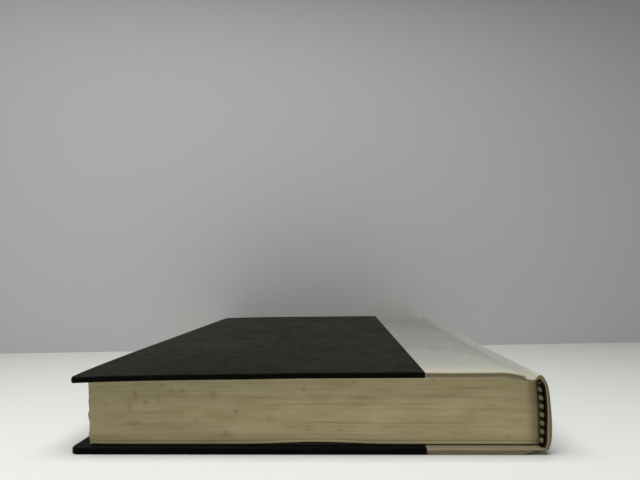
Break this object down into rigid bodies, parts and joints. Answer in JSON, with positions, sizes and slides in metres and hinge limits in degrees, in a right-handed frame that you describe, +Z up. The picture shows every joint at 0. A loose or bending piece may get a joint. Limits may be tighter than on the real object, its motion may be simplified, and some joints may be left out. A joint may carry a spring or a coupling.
{
  "type": "hardback book",
  "caption": "Closed hardback book with a cloth spine, dark paper sides, striped head and tail bands, grooved joints and two covers that open.",
  "frame": {"origin": "under the middle of the closed book, on the face of the back cover", "axes": "+X from the fore edge to the spine, +Y from head to tail, +Z up through the thickness"},
  "size_m": [0.163, 0.241, 0.027],
  "materials": {
    "pages": "uncoated, cut edges toned",
    "endpaper": "uncoated, toned",
    "board": "grey board, uncoated",
    "side_paper": "dyed paper, slight sheen, rubbed corners",
    "book_cloth": "fine plain weave, filled, soiled at the edges",
    "band": "woven cotton, dark and light thread",
    "gauze": "open weave, glued",
    "kraft": "brown, uncoated",
    "card": "thin card"
  },
  "bodies": {
    "book_block": {"text_block": "pages", "front_flyleaf": "endpaper", "back_flyleaf": "endpaper", "head_band": "band", "tail_band": "band", "spine_mull": "gauze", "spine_lining": "kraft", "spine_inlay": "card", "spine_cloth": "book_cloth"},
    "front_cover": {"front_board": "board", "front_side_paper": "side_paper", "front_quarter_cloth": "book_cloth", "front_pastedown": "endpaper"},
    "back_cover": {"back_board": "board", "back_side_paper": "side_paper", "back_quarter_cloth": "book_cloth", "back_pastedown": "endpaper"}
  },
  "joints": [
    {"name": "front_cover_hinge", "type": "hinge", "parent": "book_block", "child": "front_cover", "pos_m": [0.078, 0, 0.02356], "axis": [0, 1, 0], "range_deg": [0, 180]},
    {"name": "back_cover_hinge", "type": "hinge", "parent": "book_block", "child": "back_cover", "pos_m": [0.078, 0, 0.0023], "axis": [0, -1, 0], "range_deg": [0, 180]}
  ]
}
